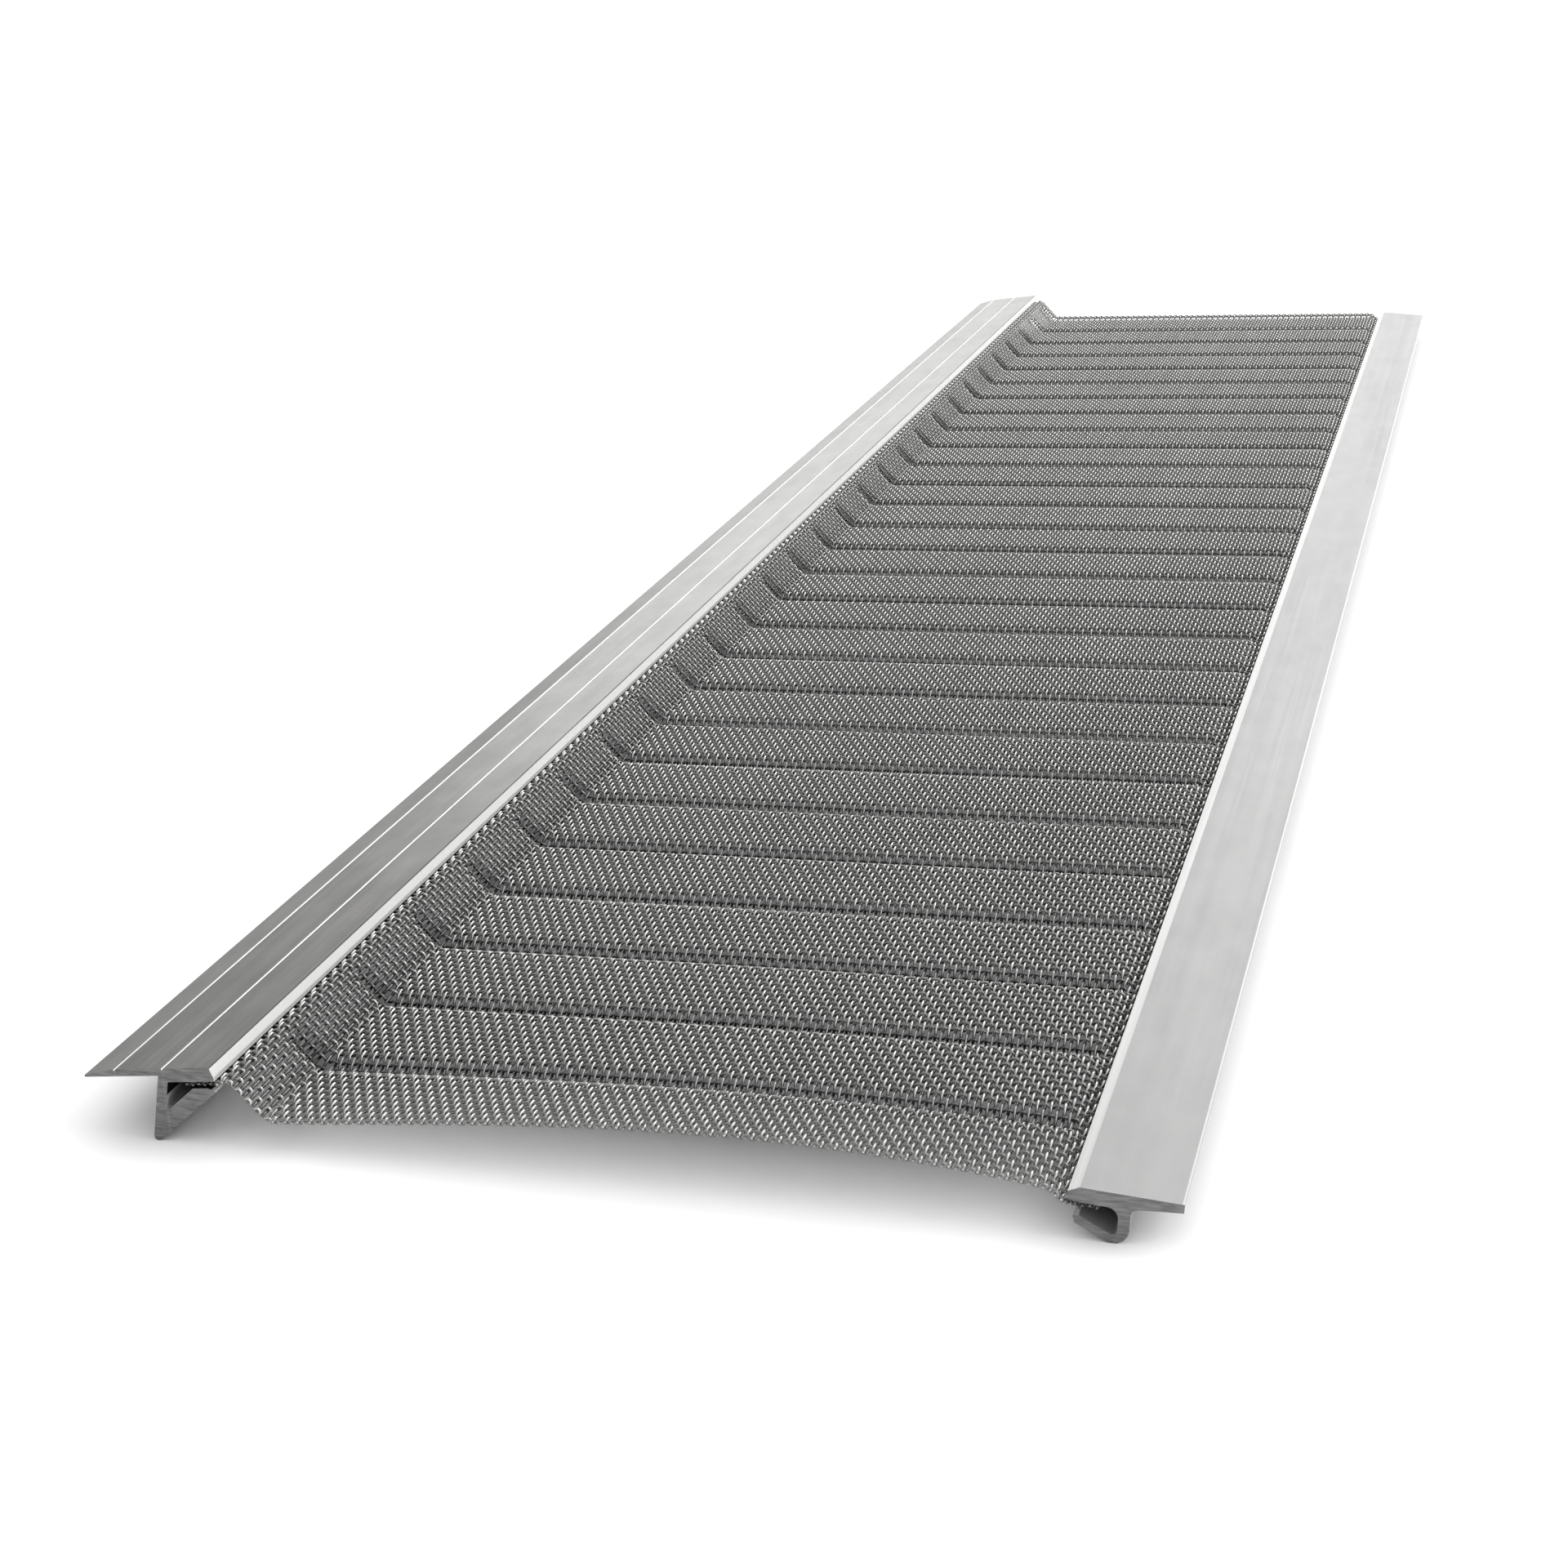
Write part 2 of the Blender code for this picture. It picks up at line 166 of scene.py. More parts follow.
class GuardCloth(bpy.types.PropertyGroup):
    """Sizes of the woven cloth."""

    wire: bpy.props.FloatProperty(
        name="Wire", description="Diameter of the wire", default=0.44 * MM, unit="LENGTH", precision=5
    )
    lengthwise_spacing: bpy.props.FloatProperty(
        name="Lengthwise spacing", description="From one lengthwise wire to the next", default=0.92 * MM,
        unit="LENGTH", precision=5,
    )
    crosswise_spacing: bpy.props.FloatProperty(
        name="Crosswise spacing", description="From one crosswise wire to the next", default=1.79 * MM,
        unit="LENGTH", precision=5,
    )
    groove_pitch: bpy.props.FloatProperty(
        name="Groove pitch", description="From one pressed groove to the next", default=21.7 * MM,
        unit="LENGTH", precision=5,
    )
    first_groove: bpy.props.FloatProperty(
        name="First groove", description="From the rails' near end to the first groove's middle",
        default=18.3 * MM, unit="LENGTH", precision=5,
    )
    groove_width: bpy.props.FloatProperty(
        name="Groove width", description="Full width of a groove", default=7.3 * MM,
        unit="LENGTH", precision=5,
    )
    groove_depth: bpy.props.FloatProperty(
        name="Groove depth", description="Depth of a groove at its middle", default=1.2 * MM,
        unit="LENGTH", precision=5,
    )
    groove_ramp: bpy.props.FloatProperty(
        name="Groove ramp", description="Length over which a groove fades out at each rail",
        default=3.4 * MM, unit="LENGTH", precision=5,
    )
    bow_height: bpy.props.FloatProperty(
        name="Bow height", description="How far the free near edge bulges up", default=3.7 * MM,
        unit="LENGTH", precision=5,
    )
    bow_length: bpy.props.FloatProperty(
        name="Bow length", description="Length over which the bulge fades to a third", default=20 * MM,
        unit="LENGTH", precision=5,
    )
    bow_skew: bpy.props.FloatProperty(
        name="Bow skew", description="Above 1, the bulge is highest nearer the front rail", default=1.25
    )
    colour: bpy.props.FloatVectorProperty(
        name="Colour", description="Colour of the drawn wire", subtype="COLOR", size=3,
        default=(0.56, 0.56, 0.55), min=0, max=1,
    )


class GuardRails(bpy.types.PropertyGroup):
    """Finishes of the two rails."""

    rear_colour: bpy.props.FloatVectorProperty(
        name="Rear rail", description="Mill grey aluminium", subtype="COLOR", size=3,
        default=(0.180, 0.179, 0.172), min=0, max=1,
    )
    front_colour: bpy.props.FloatVectorProperty(
        name="Front rail", description="Pale brushed aluminium", subtype="COLOR", size=3,
        default=(0.43, 0.43, 0.428), min=0, max=1,
    )
    # Near-white colour of the painted highlights along the bevels, scored lines and the front rail's outer
    # rim
    painted_highlight_colour: bpy.props.FloatVectorProperty(
        name="Bright edges", description="Painted highlights on the bevels and scored lines", subtype="COLOR", size=3,
        default=(0.93, 0.93, 0.92), min=0, max=1,
    )
    rear_roughness: bpy.props.FloatProperty(
        name="Rear roughness", description="Roughness of the rear rail's faces", default=0.36,
        min=0, max=1,
    )
    front_roughness: bpy.props.FloatProperty(
        name="Front roughness", description="Roughness of the front rail's faces", default=0.48,
        min=0, max=1,
    )


class GuardStudio(bpy.types.PropertyGroup):
    """Floor, light and camera."""

    floor_colour: bpy.props.FloatVectorProperty(
        name="Floor", description="Colour of the floor", subtype="COLOR", size=3,
        default=(0.92, 0.92, 0.92), min=0, max=1,
    )
    sky: bpy.props.FloatProperty(
        name="Surroundings", description="Strength of the white tent behind the panel", default=1.0
    )
    front_sky: bpy.props.FloatProperty(
        name="Room", description="Strength of the dimmer room overhead and around", default=0.36
    )
    back_power: bpy.props.FloatProperty(
        name="Back light", description="Power of the softbox beyond the far end", default=20,
        unit="POWER",
    )
    side_power: bpy.props.FloatProperty(
        name="Side light", description="Power of the softbox on the front rail's side", default=16,
        unit="POWER",
    )
    floor_strength: bpy.props.FloatProperty(
        name="Floor light", description="Strength of the even light on the floor alone", default=1.9
    )
    lens: bpy.props.FloatProperty(
        name="Lens", description="Focal length on a 36 mm frame", default=58.875, unit="CAMERA"
    )


# ---------------------------------------------------------------- the cloth's surface


def rounded(corners):
    """Points of a path whose corners are rounded: each arc has its centre on the corner's bisector,
    its radius from the corner, and runs between the two points where it touches the sides."""
    points = []
    for i, (u, v, radius) in enumerate(corners):
        if radius == 0:
            points.append(np.array([[u, v]]))
            continue
        corner = np.array([u, v])
        back = np.array(corners[i - 1][:2]) - corner
        ahead = np.array(corners[i + 1][:2]) - corner
        back, ahead = back / np.hypot(*back), ahead / np.hypot(*ahead)
        half = np.arccos(np.clip(back @ ahead, -1, 1)) / 2
        bisector = (back + ahead) / np.hypot(*(back + ahead))
        centre = corner + bisector * radius / np.sin(half)
        start = corner + back * radius / np.tan(half) - centre
        end = corner + ahead * radius / np.tan(half) - centre
        share = np.linspace(0, 1, ARC_POINTS)[:, None]
        turn = np.pi - 2 * half
        arc = (np.sin((1 - share) * turn) * start + np.sin(share * turn) * end) / np.sin(turn)
        points.append(centre + arc)
    return np.concatenate(points)


def wire_places(extent, spacing, margin):
    """Even places from margin to extent - margin, as near to the spacing as whole wires allow."""
    count = round((extent - 2 * margin) / spacing) + 1
    return np.linspace(margin, extent - margin, count)


class Cloth:
    """The cloth's middle surface as a function of s, the distance across, and y, the place along."""

    def __init__(self, sizes):
        self.sizes = sizes
        corners = [(x * MM + INNER_EDGE, z * MM, r * MM) for x, z, r in SECTION]
        self.line = rounded(corners)
        self.run = np.concatenate([[0], np.cumsum(np.hypot(*np.diff(self.line, axis=0).T))])
        self.width = self.run[-1]
        self.hump, self.foot = self.run_at(corners[HUMP]), self.run_at(corners[BEND])
        self.dip_foot = self.run_at(corners[DIP_FOOT])
        self.mouths = self.run_at(corners[MOUTH]), self.dip_foot
        self.span = corners[BEND][0], corners[DIP_START][0]
        first = RAIL_NEAR_END + sizes.first_groove
        self.grooves = np.arange(first, FAR_END - sizes.groove_width / 3, sizes.groove_pitch)
        self.places = np.linspace(NEAR_END, FAR_END, TRAVEL_POINTS)
        step = np.diff(self.places)
        slope = np.gradient(self.groove(self.places), self.places)
        self.travel = np.concatenate([[0], np.cumsum(np.hypot(step, step * slope[:-1]))])
        self.length = self.travel[-1]

    def run_at(self, corner):
        """Distance across of the point of the line nearest to a corner."""
        return self.run[np.hypot(*(self.line - corner[:2]).T).argmin()]

    def groove(self, y):
        """Depth of the grooves at y: each is one raised cosine, depth * (1 + cos(2 pi d / width)) / 2."""
        d = y[..., None] - self.grooves
        reach = self.sizes.groove_width
        wave = np.where(np.abs(d) < reach / 2, 0.5 + 0.5 * np.cos(2 * np.pi * d / reach), 0)
        return self.sizes.groove_depth * wave.sum(axis=-1)

    def along(self, travel):
        """The place y at a distance travelled over the grooves from the near end."""
        return np.interp(travel, self.travel, self.places)

    def wires(self):
        """Where the lengthwise wires lie across and the crosswise wires along, evenly spaced."""
        sizes = self.sizes
        margin = EDGE_MARGIN * sizes.wire
        across = wire_places(self.width, sizes.lengthwise_spacing, margin)
        along = wire_places(self.length, sizes.crosswise_spacing, margin)
        return across, along

    def pressed(self, s, y):
        """How far a place is pressed into a groove, from 0 to 1, fading to each rail as a smooth step,
        3 t^2 - 2 t^3."""
        inside = np.minimum(s - self.hump, self.dip_foot - s) / self.sizes.groove_ramp
        inside = np.clip(inside, 0, 1)
        return self.groove(y) / self.sizes.groove_depth * inside * inside * (3 - 2 * inside)

    def flank(self, s):
        """1 on the slope between the hump and its foot, 0 elsewhere, changing over a short way."""
        return np.clip(np.minimum(s - self.hump, self.foot - s) / FLANK_EDGE + 0.5, 0, 1)

    def free(self, s):
        """1 where the cloth is open to the light, less where the jaws hold it."""
        return np.where((s > self.mouths[0]) & (s < self.mouths[1]), 1.0, JAW_SHADE)

    def painted_light(self, height, s, y, dip, crown, flank, groove):
        """A wire's painted light and shade: its brightness goes from dip to crown as its height over the
        cloth's middle goes from -1 to 1, times what the jaws leave of it, times its changes on the flank
        and in the grooves."""
        level = (dip + (crown - dip) * (height + 1) / 2) * self.free(s)
        return level * ((1 + flank * self.flank(s)) * (1 + groove * self.pressed(s, y)))

    def base(self, s):
        """Point (x, z) of the section at distance s."""
        return np.interp(s, self.run, self.line[:, 0]), np.interp(s, self.run, self.line[:, 1])

    def point(self, s, y):
        """Section point, plus the bow upwards, 4 t (1 - t) exp(-distance / length), minus the groove
        along the section's normal."""
        x, z = self.base(s)
        x1, z1 = self.base(s + SLOPE_STEP)
        x0, z0 = self.base(s - SLOPE_STEP)
        rise = np.hypot(x1 - x0, z1 - z0) + 1e-12  # above zero past the line's ends too
        nx, nz = -(z1 - z0) / rise, (x1 - x0) / rise
        push = self.sizes.groove_depth * self.pressed(s, y)
        t = np.clip((x - self.span[0]) / (self.span[1] - self.span[0]), 0, 1) ** self.sizes.bow_skew
        fade = np.exp(-(y - RAIL_NEAR_END) / self.sizes.bow_length)
        lift = self.sizes.bow_height * 4 * t * (1 - t) * fade
        return np.stack([x - push * nx, y + 0 * x, z - push * nz + lift], axis=-1)

    def normal(self, s, y):
        """Unit normal, from the cross product of the surface's two slopes."""
        across = self.point(s + NORMAL_STEP, y) - self.point(s - NORMAL_STEP, y)
        ahead = self.point(s, y + NORMAL_STEP) - self.point(s, y - NORMAL_STEP)
        up = np.cross(across, ahead)
        return up / np.linalg.norm(up, axis=-1, keepdims=True)


# ---------------------------------------------------------------- wires


def crimp_stations(middles, high):
    """Places along a wire that crosses others: two for each crossing, a plateau apart, and both ends."""
    plateau = np.array([-PLATEAU, PLATEAU]) * (middles[1] - middles[0])
    stations = (middles[:, None] + plateau).ravel()
    return np.concatenate([[0], stations[1:-1], [high]])


def crimp(own, others):
    """Height of each station over the cloth's middle, in half wires: 1 or -1, changing at each crossing."""
    sign = np.where((own[:, None] + np.arange(others)) % 2 == 0, 1.0, -1.0)
    height = np.repeat(sign, 2, axis=1)
    height[:, [0, -1]] *= END_SHARE
    return height


def tubes(paths, normals, radius):
    """Closed tubes along many paths at once: each ring is radius * (side cos a + up sin a), where side
    is the path's direction crossed with the surface normal. Returns the points, quads and UV places."""
    count, stations = paths.shape[:2]
    heading = np.gradient(paths, axis=1)
    heading /= np.linalg.norm(heading, axis=-1, keepdims=True)
    side = np.cross(heading, normals)
    side /= np.linalg.norm(side, axis=-1, keepdims=True)
    up = np.cross(side, heading)
    angle = np.arange(RING_SIDES) * 2 * np.pi / RING_SIDES
    ring = np.cos(angle)[:, None] * side[:, :, None] + np.sin(angle)[:, None] * up[:, :, None]
    points = (paths[:, :, None] + radius * ring).reshape(-1, 3)
    index = np.arange(count * stations * RING_SIDES).reshape(count, stations, RING_SIDES)
    turned = np.roll(index, -1, axis=2)
    walls = np.stack([index[:, :-1], index[:, 1:], turned[:, 1:], turned[:, :-1]], axis=-1)
    walls = walls.reshape(-1, RING_SIDES)
    caps = np.concatenate([index[:, 0], index[:, -1, ::-1]])
    columns = count * RING_SIDES
    column = (np.arange(count)[:, None, None] * RING_SIDES + np.arange(RING_SIDES)) / columns
    row = (np.arange(stations - 1) / (stations - 1))[None, :, None]
    corner = np.stack(np.broadcast_arrays(column, row), axis=-1).reshape(-1, 1, 2)
    wide, tall = STRIP_SHARE / columns, 1 / (stations - 1)
    places = corner + np.array([[0, 0], [0, tall], [wide, tall], [wide, 0]])
    end_places = np.zeros((len(caps), RING_SIDES, 2))
    return points, walls, caps, np.concatenate([places, end_places]).reshape(-1, 2)


def wire_piece(name, paths, normals, radius, tones, painted_light):
    """One object that holds many wires, smooth along their walls and flat at their cut ends. Each wire has
    its own tone, and each station its own painted light and shade."""
    points, walls, caps, places = tubes(paths, normals, radius)
    mesh = bpy.data.meshes.new(name)
    mesh.from_pydata(points, [], np.concatenate([walls, caps]))
    smooth = np.ones(len(mesh.polygons), bool)
    smooth[len(walls):] = False
    mesh.polygons.foreach_set("use_smooth", smooth)
    for key, values in (("wire_tone", tones[:, None] + 0 * painted_light), ("wire_painted_light", painted_light)):
        kept = mesh.attributes.new(key, "FLOAT", "POINT")
        kept.data.foreach_set("value", np.repeat(values.ravel(), RING_SIDES).astype(np.float32))
    layer = mesh.uv_layers.new(name="OFBake")
    layer.uv.foreach_set("vector", places.ravel().astype(np.float32))
    piece = bpy.data.objects.new(name, mesh)
    bpy.context.scene.collection.objects.link(piece)
    mesh.materials.append(drawn_wire())
    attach(piece, "root")
    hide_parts("woven_sheet")


# ---------------------------------------------------------------- shader nodes


def fresh(name):
    """A new material, its node tree and its shader."""
    finish = bpy.data.materials.new(name)
    finish.use_nodes = True
    return finish, finish.node_tree, finish.node_tree.nodes["Principled BSDF"]


def node(tree, kind, **settings):
    """A new node with its settings."""
    new = tree.nodes.new(kind)
    for key, value in settings.items():
        setattr(new, key, value)
    return new


def feed(tree, socket, value):
    """Links a socket to another node's output, or sets it to a number or a colour."""
    if isinstance(value, bpy.types.NodeSocket):
        tree.links.new(value, socket)
    else:
        socket.default_value = value


def object_coords(tree):
    """Place on the piece, in metres."""
    return node(tree, "ShaderNodeTexCoord").outputs["Object"]


def split(tree, vector):
    """The X, Y and Z outputs of a vector."""
    parts = node(tree, "ShaderNodeSeparateXYZ")
    feed(tree, parts.inputs["Vector"], vector)
    return parts.outputs


def attribute(tree, name):
    """A number kept on the mesh's points."""
    return node(tree, "ShaderNodeAttribute", attribute_name=name).outputs["Fac"]


def noise(tree, coords, scale, detail):
    """Noise stretched by a different scale along each axis."""
    mapping = node(tree, "ShaderNodeMapping")
    mapping.inputs["Scale"].default_value = scale
    feed(tree, mapping.inputs["Vector"], coords)
    pattern = node(tree, "ShaderNodeTexNoise")
    pattern.inputs["Scale"].default_value = 1
    pattern.inputs["Detail"].default_value = detail
    feed(tree, pattern.inputs["Vector"], mapping.outputs["Vector"])
    return pattern.outputs["Fac"]


def calc(tree, operation, a, b=None):
    """The result of one Math node; a and b are sockets or numbers."""
    new = node(tree, "ShaderNodeMath", operation=operation)
    feed(tree, new.inputs[0], a)
    if b is not None:
        feed(tree, new.inputs[1], b)
    return new.outputs[0]


def ramp(tree, value, low, high, to_low, to_high):
    """The value's place between low and high, carried over to between to_low and to_high, no further."""
    new = node(tree, "ShaderNodeMapRange")
    for key, number in (("From Min", low), ("From Max", high), ("To Min", to_low), ("To Max", to_high)):
        new.inputs[key].default_value = number
    feed(tree, new.inputs["Value"], value)
    return new.outputs["Result"]


def band(tree, x, low, high):
    """1 where x lies between two places, else 0."""
    return calc(tree, "MULTIPLY", calc(tree, "GREATER_THAN", x, low), calc(tree, "LESS_THAN", x, high))


def blend(tree, share, a, b, kind="MIX"):
    """Two colours mixed; each input is a socket or a value."""
    new = node(tree, "ShaderNodeMix", data_type="RGBA", blend_type=kind)
    feed(tree, new.inputs["Factor"], share)
    feed(tree, new.inputs[MIX_A], a)
    feed(tree, new.inputs[MIX_B], b)
    return new.outputs[MIX_RESULT]


def grey(tree, value):
    """A grey colour from a number."""
    new = node(tree, "ShaderNodeCombineColor")
    for key in ("Red", "Green", "Blue"):
        feed(tree, new.inputs[key], value)
    return new.outputs["Color"]


def tinted(tree, colour, value):
    """A colour multiplied by a number from a socket; the colour is a socket or a value."""
    return blend(tree, 1, colour, grey(tree, value), "MULTIPLY")


def shade(colour, factor):
    """A colour made darker or lighter, with alpha."""
    return tuple(min(1.0, channel * factor) for channel in colour) + (1.0,)


# ---------------------------------------------------------------- materials


def drawn_wire():
    """Bright drawn stainless wire: each wire has its own tone, its colour carries painted highlights on the
    crowns, painted shade in the dips, grooves and jaws, and painted light and shade on the flank, and fine
    marks vary its roughness."""
    known = bpy.data.materials.get("drawn_stainless_wire")
    if known:
        return known
    colour = tuple(bpy.context.scene.guard_cloth.colour)
    dark, light = (shade(colour, tone) for tone in WIRE_TONES)
    finish, tree, shader = fresh("drawn_stainless_wire")
    coords = object_coords(tree)
    own = calc(tree, "MULTIPLY", attribute(tree, "wire_tone"), OWN_SHARE)
    patches = calc(tree, "MULTIPLY", noise(tree, coords, WIRE_PATCHES, 3), 1 - OWN_SHARE)
    drawn = blend(tree, calc(tree, "ADD", own, patches), dark, light)
    # The base colour carries each station's painted light and shade.
    feed(tree, shader.inputs["Base Color"], tinted(tree, drawn, attribute(tree, "wire_painted_light")))
    marks = noise(tree, coords, WIRE_MARKS, 2)
    feed(tree, shader.inputs["Roughness"], ramp(tree, marks, *MIDDLE, *WIRE_ROUGHNESS))
    shader.inputs["Metallic"].default_value = 1
    return finish


def extruded_metal(name, colour, painted_highlight_bands, painted_highlight_share, streak, mottle, metallic, roughness):
    """Aluminium extrusion: fine draw lines and broad ones along its length, faint mottling, painted
    highlights along the bevels, the scored lines and the outer rim, and sawn ends with crosswise tooth
    marks."""
    painted_highlight_colour = tuple(bpy.context.scene.guard_rails.painted_highlight_colour)
    finish, tree, shader = fresh(name)
    coords = object_coords(tree)
    place = split(tree, coords)
    fine = calc(tree, "MULTIPLY", noise(tree, coords, DRAW_LINES, 5), FINE_SHARE)
    broad = calc(tree, "MULTIPLY", noise(tree, coords, BROAD_LINES, 3), 1 - FINE_SHARE)
    lines = calc(tree, "ADD", fine, broad)
    clouds = noise(tree, coords, CLOUDS, 6)
    teeth = noise(tree, coords, SAW_MARKS, 6)
    # Bands along which highlights are painted
    painted_highlight_mask = band(tree, place["X"], *painted_highlight_bands[0])
    for low, high in painted_highlight_bands[1:]:
        painted_highlight_mask = calc(tree, "MAXIMUM", painted_highlight_mask, band(tree, place["X"], low, high))
    sawn = calc(tree, "GREATER_THAN", calc(tree, "ABSOLUTE", place["Y"]), RAIL_FAR_END - SAWN_DEPTH)

    drawn = ramp(tree, lines, *MIDDLE, 1 - streak, 1 + streak)
    cloudy = ramp(tree, clouds, *MIDDLE, 1 - mottle, 1 + mottle)
    face = tinted(tree, (*colour, 1.0), calc(tree, "MULTIPLY", drawn, cloudy))
    # Painted highlights: the near-white colour laid over the face along those bands
    edged = blend(tree, painted_highlight_mask, face, shade(painted_highlight_colour, painted_highlight_share))
    ends = grey(tree, ramp(tree, teeth, *MIDDLE, *SAWN_TONES))
    feed(tree, shader.inputs["Base Color"], blend(tree, sawn, edged, ends))

    smoother, rougher = (roughness + change for change in LINE_ROUGHNESS)
    brushed = ramp(tree, lines, *SPREAD, smoother, rougher)
    # Smoother along the painted highlights, and less metallic there below
    roughness_under_highlights = calc(tree, "SUBTRACT", brushed, calc(tree, "MULTIPLY", painted_highlight_mask, HIGHLIGHT_SMOOTHING))
    rough = calc(tree, "MAXIMUM", roughness_under_highlights, calc(tree, "MULTIPLY", sawn, SAWN_ROUGHNESS))
    feed(tree, shader.inputs["Roughness"], rough)
    feed(tree, shader.inputs["Metallic"], ramp(tree, painted_highlight_mask, 0, 1, metallic, PAINTED_HIGHLIGHT_METALLIC))

    toothed = calc(tree, "MULTIPLY", calc(tree, "MULTIPLY", sawn, teeth), SAWN_RELIEF)
    relief = node(tree, "ShaderNodeBump")
    relief.inputs["Strength"].default_value = LINE_RELIEF
    relief.inputs["Distance"].default_value = LINE_DEPTH
    feed(tree, relief.inputs["Height"], calc(tree, "ADD", lines, toothed))
    feed(tree, shader.inputs["Normal"], relief.outputs["Normal"])
    return finish


def plain_floor():
    """Pale matt floor, very slightly uneven in tone."""
    colour = tuple(bpy.context.scene.guard_studio.floor_colour)
    dark, light = (shade(colour, tone) for tone in FLOOR_TONES)
    finish, tree, shader = fresh("pale_floor")
    patches = ramp(tree, noise(tree, object_coords(tree), FLOOR_PATCHES, 3), *MIDDLE, 0, 1)
    feed(tree, shader.inputs["Base Color"], blend(tree, patches, dark, light))
    shader.inputs["Roughness"].default_value = 0.9
    shader.inputs["Specular IOR Level"].default_value = 0.1
    return finish


def black_cloth():
    """Matt black cloth of the flag that keeps the floor under the panel in shade, thin at its near edge."""
    finish, tree, shader = fresh("black_flag")
    shader.inputs["Base Color"].default_value = (0.02, 0.02, 0.02, 1)
    shader.inputs["Roughness"].default_value = 1
    shader.inputs["Specular IOR Level"].default_value = 0
    y = split(tree, object_coords(tree))["Y"]
    cover = ramp(tree, y, NEAR_END, NEAR_END + FLAG_FADE, 0, 1 - FLAG_THINNESS)
    feed(tree, shader.inputs["Alpha"], cover)
    return finish


# ---------------------------------------------------------------- studio


def square(name, low, high, height, finish):
    """A flat rectangle between two corners."""
    mesh = bpy.data.meshes.new(name)
    corners = [(low[0], low[1]), (high[0], low[1]), (high[0], high[1]), (low[0], high[1])]
    mesh.from_pydata([(x, y, height) for x, y in corners], [], [(0, 1, 2, 3)])
    mesh.materials.append(finish)
    sheet = bpy.data.objects.new(name, mesh)
    bpy.context.scene.collection.objects.link(sheet)
    return sheet


def surroundings(strength, room_strength):
    """A tent that is white behind the panel, with dimmer walls all round and a dim room overhead. Its
    strength is the greatest of those and of an even backdrop that only the camera sees."""
    world = bpy.data.worlds.new("studio")
    world.use_nodes = True
    tree = world.node_tree
    background = tree.nodes["Background"]
    background.inputs["Color"].default_value = (1, 1, 1, 1)
    direction = node(tree, "ShaderNodeTexCoord").outputs["Generated"]
    nearness = node(tree, "ShaderNodeVectorMath", operation="DOT_PRODUCT")
    nearness.inputs[1].default_value = TENT_POLE
    feed(tree, nearness.inputs[0], direction)
    behind = ramp(tree, nearness.outputs["Value"], *TENT_EDGES, room_strength, strength)
    walls = ramp(tree, split(tree, direction)["Z"], *WALL_EDGES, WALL_SHARE * strength, room_strength)
    seen = node(tree, "ShaderNodeLightPath").outputs["Is Camera Ray"]
    backdrop = calc(tree, "MULTIPLY", seen, BACKDROP)
    light = calc(tree, "MAXIMUM", calc(tree, "MAXIMUM", behind, walls), backdrop)
    feed(tree, background.inputs["Strength"], light)
    bpy.context.scene.world = world


def lamp(name, kind, energy):
    """A new lamp at the origin, and its light."""
    light = bpy.data.lights.new(name, kind)
    light.energy = energy
    holder = bpy.data.objects.new(name, light)
    bpy.context.scene.collection.objects.link(holder)
    return holder, light


def softbox(name, place, size, power):
    """A rectangular lamp turned to the panel's middle."""
    holder, light = lamp(name, "AREA", power)
    light.shape = "RECTANGLE"
    light.size, light.size_y = size
    holder.location = place
    holder.rotation_euler = (-Vector(place)).to_track_quat("-Z", "Y").to_euler()
    holder.visible_camera = False


def collection(name, members):
    """A collection that only lists what a lamp lights or what shades it."""
    group = bpy.data.collections.new(name)
    for member in members:
        group.objects.link(member)
    return group


def floor_light(strength, floor, shading):
    """A very soft light straight from above, the same over the whole floor, on the floor alone."""
    holder, light = lamp("floor_light", "SUN", strength)
    light.angle = OVERHEAD_SPREAD
    holder.light_linking.receiver_collection = collection("lit_by_floor_light", [floor])
    holder.light_linking.blocker_collection = collection("shades_floor_light", shading)


def camera(lens):
    """The viewer's eye, above the near end and turned a little to the rear rail."""
    eye = bpy.data.cameras.new("camera")
    eye.lens = lens
    eye.sensor_width = FILM_WIDTH
    eye.clip_end = SIGHT
    viewer = bpy.data.objects.new("camera", eye)
    bpy.context.scene.collection.objects.link(viewer)
    ahead = Vector(CAMERA_AHEAD).normalized()
    right = ahead.cross(Vector(CAMERA_UP)).normalized()
    up = right.cross(ahead)
    turn = Matrix((right, up, -ahead)).transposed().to_4x4()
    viewer.matrix_world = Matrix.Translation(CAMERA_PLACE) @ turn
    bpy.context.scene.camera = viewer


# ---------------------------------------------------------------- operators


class GUARD_OT_lengthwise_wires(bpy.types.Operator):
    """Lay the wires that run along the panel"""

    bl_idname = "guard.lengthwise_wires"
    bl_label = "Lay lengthwise wires"

    def execute(self, context):
        cloth = Cloth(context.scene.guard_cloth)
        wire = cloth.sizes.wire
        across, along = cloth.wires()
        line = cloth.along(crimp_stations(along, cloth.length))
        tones = np.random.default_rng(LENGTHWISE_SEED).random(len(across))
        for k, own in enumerate(np.array_split(np.arange(len(across)), GROUPS)):
            s = across[own][:, None] + 0 * line
            y = line + 0 * s
            normals = cloth.normal(s, y)
            height = crimp(own, len(along))
            paths = cloth.point(s, y) + normals * height[..., None] * wire / 2
            paths[:, 0, 1], paths[:, -1, 1] = NEAR_END, FAR_END
            painted_light = cloth.painted_light(height, s, y, **LENGTHWISE_PAINTED_LIGHT)
            wire_piece(f"lengthwise_wires_{k + 1}", paths, normals, wire / 2, tones[own], painted_light)
        return {"FINISHED"}


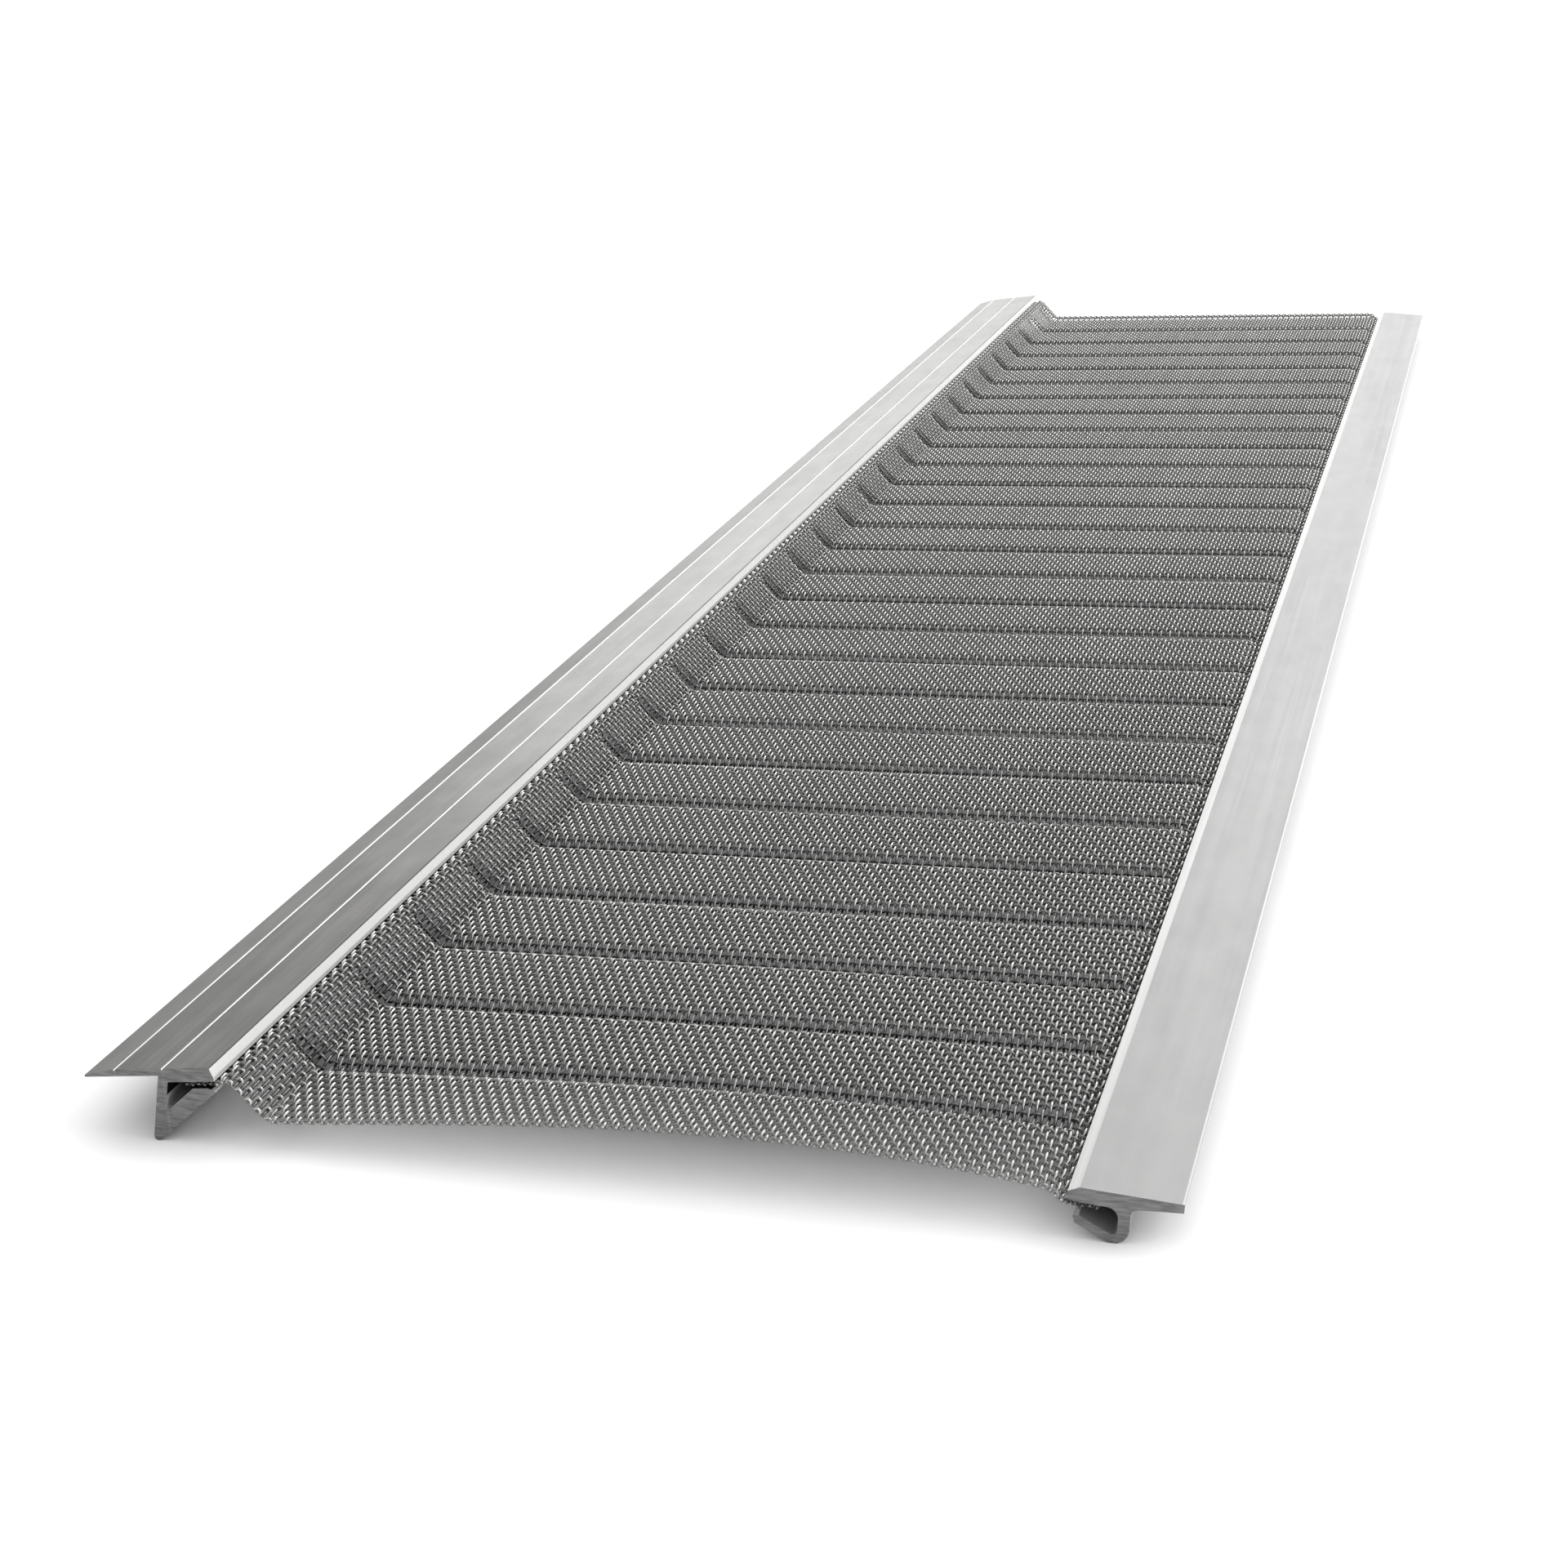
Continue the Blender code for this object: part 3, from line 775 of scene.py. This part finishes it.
class GUARD_OT_crosswise_wires(bpy.types.Operator):
    """Weave the wires that run from rail to rail"""

    bl_idname = "guard.crosswise_wires"
    bl_label = "Weave crosswise wires"

    def execute(self, context):
        cloth = Cloth(context.scene.guard_cloth)
        wire = cloth.sizes.wire
        across, along = cloth.wires()
        line = crimp_stations(across, cloth.width)
        tones = np.random.default_rng(CROSSWISE_SEED).random(len(along))
        for k, own in enumerate(np.array_split(np.arange(len(along)), GROUPS)):
            y = cloth.along(along[own])[:, None] + 0 * line
            s = line + 0 * y
            normals = cloth.normal(s, y)
            height = -crimp(own, len(across))
            paths = cloth.point(s, y) + normals * height[..., None] * wire / 2
            painted_light = cloth.painted_light(height, s, y, **CROSSWISE_PAINTED_LIGHT)
            wire_piece(f"crosswise_wires_{k + 1}", paths, normals, wire / 2, tones[own], painted_light)
        return {"FINISHED"}


class GUARD_OT_rails(bpy.types.Operator):
    """Finish the two extruded rails"""

    bl_idname = "guard.rails"
    bl_label = "Finish rails"

    def execute(self, context):
        rails = context.scene.guard_rails
        # Bands of painted highlight: the rear rail's bevel and scored lines, the front rail's nose bevel
        # and outer rim
        bevel = BEVEL_TOP, INNER_EDGE + SPARE
        scores = [(x - SCORE_REACH, x + SCORE_REACH) for x in SCORES]
        rear = extruded_metal(
            "mill_grey_aluminium", tuple(rails.rear_colour), [bevel, *scores], painted_highlight_share=1.0,
            streak=0.34, mottle=0.13, metallic=1.0, roughness=rails.rear_roughness,
        )
        nose = FRONT_LOW.x - SPARE, FRONT_LOW.x + NOSE_BEVEL
        rim = FRONT_HIGH.x - RIM[0], FRONT_HIGH.x - RIM[1]
        front = extruded_metal(
            "pale_brushed_aluminium", tuple(rails.front_colour), [nose, rim], painted_highlight_share=0.66,
            streak=0.08, mottle=0.06, metallic=0.30, roughness=rails.front_roughness,
        )
        for name, finish in (("rear_rail", rear), ("front_rail", front)):
            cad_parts[name].material_slots[0].material = finish
        return {"FINISHED"}


class GUARD_OT_studio(bpy.types.Operator):
    """Set the floor, the light and the camera"""

    bl_idname = "guard.studio"
    bl_label = "Set up studio"

    def execute(self, context):
        studio = context.scene.guard_studio
        corner = FLOOR_REACH, FLOOR_REACH
        ground = CAD_BOX[0][2] - FLOOR_GAP
        floor = square("floor", (-FLOOR_REACH, -FLOOR_REACH), corner, ground, plain_floor())
        inner = INNER_EDGE, NEAR_END
        outer = FRONT_LOW.x, FAR_END + FLAG_OVERHANG
        flag = square("shading_flag", inner, outer, FLAG_HEIGHT, black_cloth())
        flag.visible_camera = False
        surroundings(studio.sky, studio.front_sky)
        softbox("back_light", BACK_LIGHT_PLACE, BACK_LIGHT_SIZE, studio.back_power)
        rails = [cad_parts["rear_rail"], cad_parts["front_rail"]]
        floor_light(studio.floor_strength, floor, [flag, *rails])
        softbox("side_light", SIDE_LIGHT_PLACE, SIDE_LIGHT_SIZE, studio.side_power)
        camera(studio.lens)
        context.scene.view_settings.view_transform = "Standard"
        return {"FINISHED"}


class GUARD_PT_panel(bpy.types.Panel):
    """Steps that build the panel's looks"""

    bl_label = "Gutter guard"
    bl_idname = "GUARD_PT_panel"
    bl_space_type = "VIEW_3D"
    bl_region_type = "UI"
    bl_category = "Guard"

    def draw(self, context):
        for group in (context.scene.guard_cloth, context.scene.guard_rails, context.scene.guard_studio):
            box = self.layout.box()
            for key in group.__annotations__:
                box.prop(group, key)
        for step in STEPS:
            self.layout.operator(step.bl_idname)


SETTINGS = (GuardCloth, GuardRails, GuardStudio)
STEPS = (GUARD_OT_lengthwise_wires, GUARD_OT_crosswise_wires, GUARD_OT_rails, GUARD_OT_studio)


def register():
    """Registers the classes and puts their settings on the scene."""
    for kind in (*SETTINGS, *STEPS, GUARD_PT_panel):
        bpy.utils.register_class(kind)
    bpy.types.Scene.guard_cloth = bpy.props.PointerProperty(type=GuardCloth)
    bpy.types.Scene.guard_rails = bpy.props.PointerProperty(type=GuardRails)
    bpy.types.Scene.guard_studio = bpy.props.PointerProperty(type=GuardStudio)


def unregister():
    """Takes the settings and the classes away again."""
    del bpy.types.Scene.guard_studio
    del bpy.types.Scene.guard_rails
    del bpy.types.Scene.guard_cloth
    for kind in reversed((*SETTINGS, *STEPS, GUARD_PT_panel)):
        bpy.utils.unregister_class(kind)


def main():
    """Builds everything in order."""
    register()
    bpy.ops.guard.lengthwise_wires()
    bpy.ops.guard.crosswise_wires()
    bpy.ops.guard.rails()
    bpy.ops.guard.studio()


if __name__ == "__main__":
    main()
